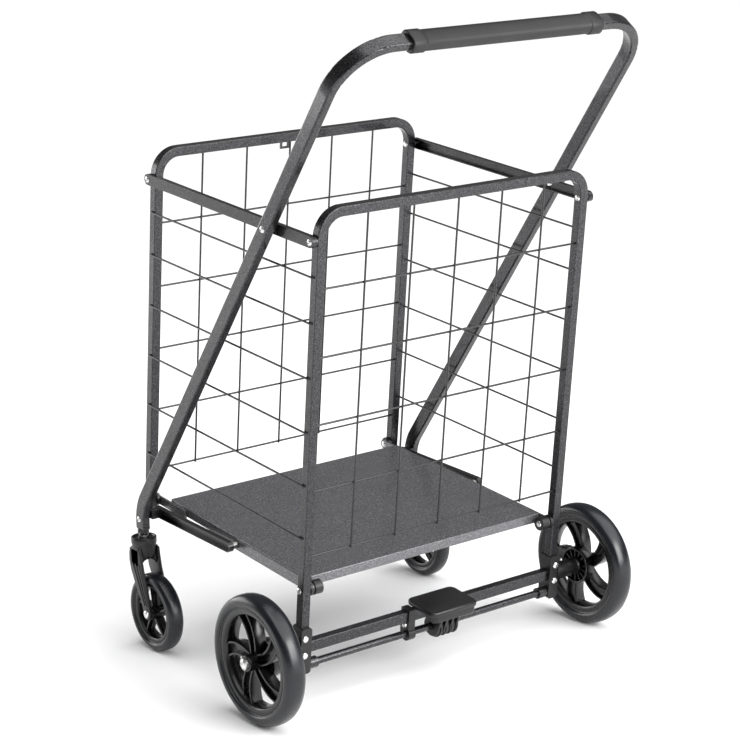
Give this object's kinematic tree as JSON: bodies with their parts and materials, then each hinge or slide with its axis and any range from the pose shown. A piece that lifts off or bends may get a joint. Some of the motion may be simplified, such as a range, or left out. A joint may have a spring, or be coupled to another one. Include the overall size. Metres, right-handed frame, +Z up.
{
  "type": "folding shopping trolley",
  "caption": "Folding shopping trolley: two mesh-filled frames joined by pivoted bars, side wires and a sheet deck, U-shaped handle, large rear wheels, swivelling casters and a foot brake.",
  "frame": {"origin": "on the floor under the middle of the outline's bounding box", "axes": "+X to the right for the person pushing, +Y from the rear wheels to the casters, +Z up"},
  "size_m": [0.673, 0.6078, 0.965],
  "materials": {
    "frame_paint": "hammered silver-vein powder coat, semi-gloss",
    "wire_paint": "dark powder coat, semi-gloss",
    "deck_paint": "smooth grey powder coat, glossy",
    "bar_paint": "hammered powder coat, semi-gloss",
    "zinc": "bright zinc plate",
    "dull_zinc": "dull zinc plate",
    "black_plastic": "moulded, fine texture",
    "rim_plastic": "moulded, semi-gloss",
    "grip_plastic": "moulded, matte",
    "tread": "smooth grey-black rubber"
  },
  "bodies": {
    "rear": {"rear_frame_tube": "frame_paint", "rear_mesh": "wire_paint", "crossbar": "frame_paint", "wheel_bracket_right": "black_plastic", "wheel_bracket_left": "black_plastic", "bracket_rivets": "zinc", "rear_axle_bolts": "zinc", "brake_bracket": "black_plastic", "brake_bolt": "zinc", "hinge_pins_rear": "zinc", "hinge_bushes_rear": "black_plastic", "bar_washers_rear": "dull_zinc", "bar_rivets_rear": "zinc"},
    "top_bars": {"top_bar_right": "bar_paint", "top_bar_left": "bar_paint"},
    "front": {"front_frame_tube": "frame_paint", "front_mesh": "wire_paint", "latch_hook": "wire_paint", "bar_rivets_front": "zinc", "bar_washers_front": "dull_zinc", "hinge_pins_front": "zinc", "hinge_bushes_front": "black_plastic"},
    "deck": {"deck_plate": "deck_paint", "deck_rail_right": "deck_paint", "deck_rail_left": "deck_paint", "deck_lug_right": "deck_paint", "deck_lug_left": "deck_paint", "brace_rivets": "zinc", "brace_spacers": "dull_zinc"},
    "braces": {"brace_right": "bar_paint", "brace_left": "bar_paint", "brace_feet": "black_plastic", "brace_end_rivets": "zinc"},
    "handle": {"handle_tube": "frame_paint", "handle_grip": "grip_plastic", "handle_rivets": "zinc", "handle_washers": "dull_zinc", "cross_bolts": "zinc", "caster_collars": "black_plastic", "caster_stems": "zinc"},
    "side_wires_1": {"side_wires_1": "wire_paint"},
    "side_wires_2": {"side_wires_2": "wire_paint"},
    "side_wires_3": {"side_wires_3": "wire_paint"},
    "side_wires_4": {"side_wires_4": "wire_paint"},
    "side_wires_5": {"side_wires_5": "wire_paint"},
    "side_wires_6": {"side_wires_6": "wire_paint"},
    "caster_fork_right": {"caster_fork_right": "black_plastic", "caster_bolt_right": "zinc"},
    "caster_wheel_right": {"caster_rim_right": "rim_plastic", "caster_tyre_right": "tread"},
    "rear_wheel_right": {"rear_rim_right": "rim_plastic", "rear_tyre_right": "tread"},
    "caster_fork_left": {"caster_fork_left": "black_plastic", "caster_bolt_left": "zinc"},
    "caster_wheel_left": {"caster_rim_left": "rim_plastic", "caster_tyre_left": "tread"},
    "rear_wheel_left": {"rear_rim_left": "rim_plastic", "rear_tyre_left": "tread"},
    "brake": {"brake_rod": "frame_paint", "brake_pedal": "black_plastic"}
  },
  "joints": [
    {"name": "fold", "type": "hinge", "parent": "rear", "child": "top_bars", "pos_m": [0, -0.17927, 0.68838], "axis": [1, 0, 0], "range_deg": [0, 71]},
    {"name": "front_hinge", "type": "hinge", "parent": "top_bars", "child": "front", "pos_m": [0, 0.21854, 0.73019], "axis": [1, 0, 0], "range_deg": [-71.5, 0]},
    {"name": "handle_hinge", "type": "hinge", "parent": "top_bars", "child": "handle", "pos_m": [0, -0.09484, 0.69725], "axis": [1, 0, 0], "range_deg": [-88.04, 0]},
    {"name": "deck_hinge", "type": "hinge", "parent": "rear", "child": "deck", "pos_m": [0, -0.11065, 0.18251], "axis": [1, 0, 0], "range_deg": [0, 71.5]},
    {"name": "brace_hinge", "type": "hinge", "parent": "deck", "child": "braces", "pos_m": [0, 0.07021, 0.20283], "axis": [1, 0, 0], "range_deg": [-127.79, 0]},
    {"name": "side_hinge_1", "type": "hinge", "parent": "rear", "child": "side_wires_1", "pos_m": [0, -0.17268, 0.63831], "axis": [1, 0, 0], "range_deg": [0, 71.5]},
    {"name": "side_hinge_2", "type": "hinge", "parent": "rear", "child": "side_wires_2", "pos_m": [0, -0.16425, 0.57426], "axis": [1, 0, 0], "range_deg": [0, 71.5]},
    {"name": "side_hinge_3", "type": "hinge", "parent": "rear", "child": "side_wires_3", "pos_m": [0, -0.15399, 0.49634], "axis": [1, 0, 0], "range_deg": [0, 71.5]},
    {"name": "side_hinge_4", "type": "hinge", "parent": "rear", "child": "side_wires_4", "pos_m": [0, -0.14373, 0.41841], "axis": [1, 0, 0], "range_deg": [0, 71.5]},
    {"name": "side_hinge_5", "type": "hinge", "parent": "rear", "child": "side_wires_5", "pos_m": [0, -0.13347, 0.34048], "axis": [1, 0, 0], "range_deg": [0, 71.5]},
    {"name": "side_hinge_6", "type": "hinge", "parent": "rear", "child": "side_wires_6", "pos_m": [0, -0.12321, 0.26255], "axis": [1, 0, 0], "range_deg": [0, 71.5]},
    {"name": "caster_swivel_right", "type": "hinge", "parent": "handle", "child": "caster_fork_right", "pos_m": [0.2617, 0.26891, 0.177], "axis": [0, 0, 1], "continuous": true},
    {"name": "caster_spin_right", "type": "hinge", "parent": "caster_fork_right", "child": "caster_wheel_right", "pos_m": [0.2617, 0.24291, 0.061], "axis": [1, 0, 0], "continuous": true},
    {"name": "rear_spin_right", "type": "hinge", "parent": "rear", "child": "rear_wheel_right", "pos_m": [0.308, -0.10115, 0.095], "axis": [1, 0, 0], "continuous": true},
    {"name": "caster_swivel_left", "type": "hinge", "parent": "handle", "child": "caster_fork_left", "pos_m": [-0.2617, 0.26891, 0.177], "axis": [0, 0, 1], "continuous": true},
    {"name": "caster_spin_left", "type": "hinge", "parent": "caster_fork_left", "child": "caster_wheel_left", "pos_m": [-0.2617, 0.24291, 0.061], "axis": [1, 0, 0], "continuous": true},
    {"name": "rear_spin_left", "type": "hinge", "parent": "rear", "child": "rear_wheel_left", "pos_m": [-0.308, -0.10115, 0.095], "axis": [1, 0, 0], "continuous": true},
    {"name": "brake_pedal_hinge", "type": "hinge", "parent": "rear", "child": "brake", "pos_m": [0, -0.09948, 0.06698], "axis": [1, 0, 0], "range_deg": [0, 12]}
  ],
  "couplings": [
    {"joint": "front_hinge", "follows": "fold", "ratio": -1},
    {"joint": "handle_hinge", "follows": "fold", "ratio": -1.233},
    {"joint": "deck_hinge", "follows": "fold", "ratio": 1},
    {"joint": "brace_hinge", "follows": "fold", "ratio": -1.7928},
    {"joint": "side_hinge_1", "follows": "fold", "ratio": 1},
    {"joint": "side_hinge_2", "follows": "fold", "ratio": 1},
    {"joint": "side_hinge_3", "follows": "fold", "ratio": 1},
    {"joint": "side_hinge_4", "follows": "fold", "ratio": 1},
    {"joint": "side_hinge_5", "follows": "fold", "ratio": 1},
    {"joint": "side_hinge_6", "follows": "fold", "ratio": 1}
  ]
}
